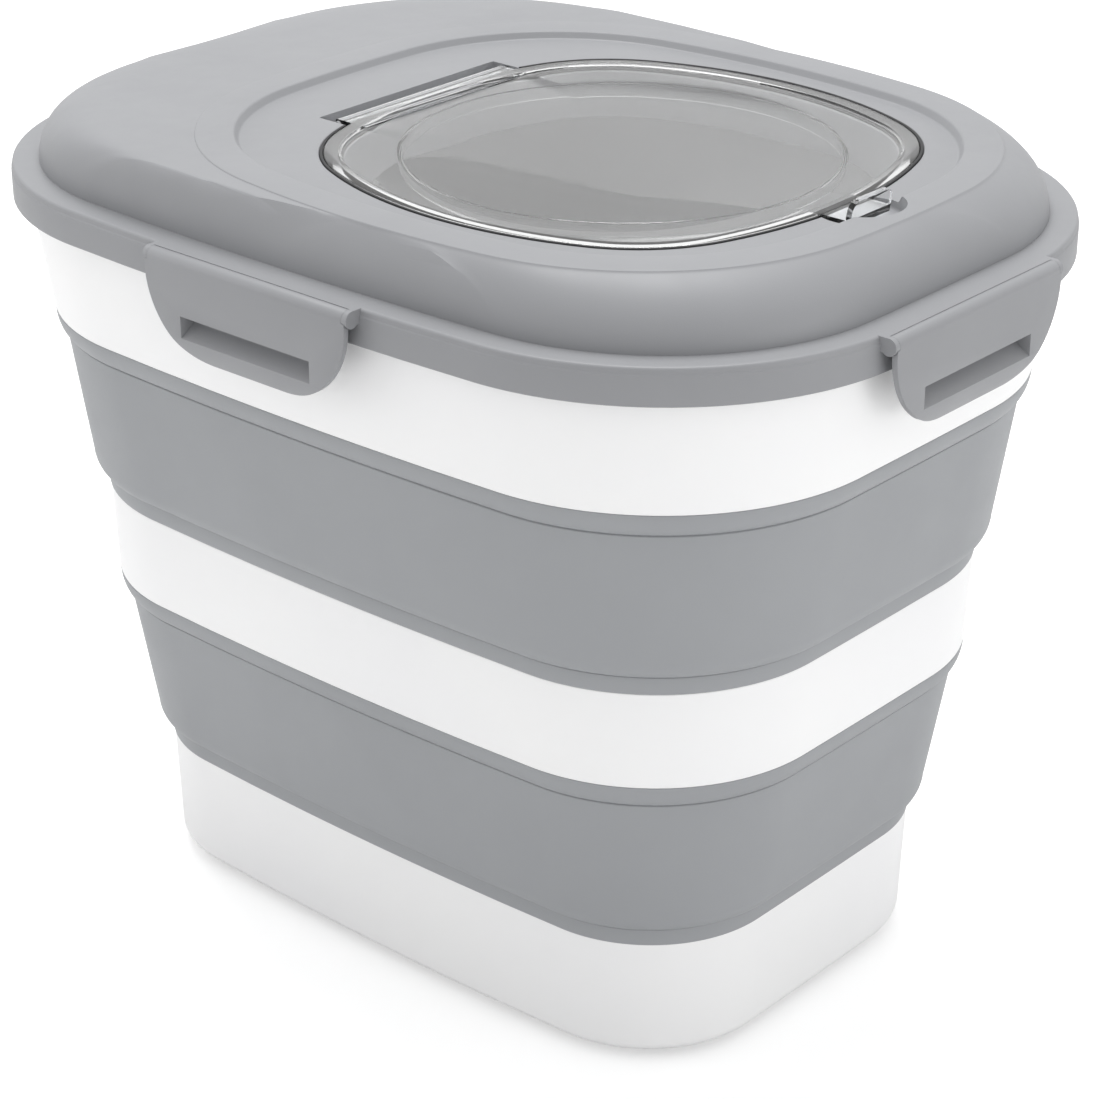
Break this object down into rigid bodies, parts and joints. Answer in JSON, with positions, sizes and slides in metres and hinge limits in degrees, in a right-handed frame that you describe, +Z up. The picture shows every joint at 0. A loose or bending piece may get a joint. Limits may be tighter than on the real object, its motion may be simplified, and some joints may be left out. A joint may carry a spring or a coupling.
{
  "type": "rice bin with flip lid",
  "caption": "Collapsible rounded bin for rice or dry food, on rollers, with a latched domed lid and a clear window that flips up over the scooping mouth.",
  "frame": {"origin": "on the floor below the middle of the bin's outline, latches included", "axes": "+Z up, +Y along the length towards the window's hinge, -Y towards the window's lift tab, +X to the right seen from the tab's end"},
  "size_m": [0.3076, 0.4116, 0.3348],
  "materials": {
    "white_shell": "satin",
    "lid_plastic": "satin",
    "soft_band": "matte",
    "seal_rubber": "matte",
    "clear_plastic": "clear, polished",
    "roller_plastic": "semi-gloss"
  },
  "bodies": {
    "base": {"base_tub": "white_shell", "lower_bellows": "soft_band"},
    "middle": {"middle_ring": "white_shell", "upper_bellows": "soft_band"},
    "top": {"top_ring": "white_shell"},
    "lid": {"lid_shell": "lid_plastic", "lid_seal": "seal_rubber", "window_seal": "seal_rubber"},
    "window": {"flip_window": "clear_plastic"},
    "latch_front": {"latch_front": "lid_plastic"},
    "latch_back": {"latch_back": "lid_plastic"},
    "latch_left": {"latch_left": "lid_plastic"},
    "latch_right": {"latch_right": "lid_plastic"},
    "roller_front_left": {"roller_front_left": "roller_plastic"},
    "roller_front_right": {"roller_front_right": "roller_plastic"},
    "roller_back_left": {"roller_back_left": "roller_plastic"},
    "roller_back_right": {"roller_back_right": "roller_plastic"}
  },
  "joints": [
    {"name": "lower_fold", "type": "slide", "parent": "base", "child": "middle", "axis": [0, 0, -1], "range_m": [0, 0.122], "deforming": ["lower_bellows"]},
    {"name": "upper_fold", "type": "slide", "parent": "middle", "child": "top", "axis": [0, 0, -1], "range_m": [0, 0.1135], "deforming": ["upper_bellows"]},
    {"name": "lid_lift", "type": "slide", "parent": "top", "child": "lid", "axis": [0, 0, 1], "range_m": [0, 0.08]},
    {"name": "window_hinge", "type": "hinge", "parent": "lid", "child": "window", "pos_m": [0, 0.057, 0.3259], "axis": [-1, 0, 0], "range_deg": [0, 110]},
    {"name": "latch_front_hinge", "type": "hinge", "parent": "lid", "child": "latch_front", "pos_m": [0, -0.2026, 0.3043], "axis": [-1, 0, 0], "range_deg": [0, 90]},
    {"name": "latch_back_hinge", "type": "hinge", "parent": "lid", "child": "latch_back", "pos_m": [0, 0.2026, 0.3043], "axis": [1, 0, 0], "range_deg": [0, 90]},
    {"name": "latch_left_hinge", "type": "hinge", "parent": "lid", "child": "latch_left", "pos_m": [-0.1506, 0, 0.3043], "axis": [0, 1, 0], "range_deg": [0, 90]},
    {"name": "latch_right_hinge", "type": "hinge", "parent": "lid", "child": "latch_right", "pos_m": [0.1506, 0, 0.3043], "axis": [0, -1, 0], "range_deg": [0, 90]},
    {"name": "roller_front_left_spin", "type": "hinge", "parent": "base", "child": "roller_front_left", "pos_m": [-0.06, -0.106, 0.0125], "axis": [1, 0, 0], "continuous": true},
    {"name": "roller_back_left_spin", "type": "hinge", "parent": "base", "child": "roller_back_left", "pos_m": [-0.06, 0.106, 0.0125], "axis": [1, 0, 0], "continuous": true},
    {"name": "roller_front_right_spin", "type": "hinge", "parent": "base", "child": "roller_front_right", "pos_m": [0.06, -0.106, 0.0125], "axis": [1, 0, 0], "continuous": true},
    {"name": "roller_back_right_spin", "type": "hinge", "parent": "base", "child": "roller_back_right", "pos_m": [0.06, 0.106, 0.0125], "axis": [1, 0, 0], "continuous": true}
  ]
}
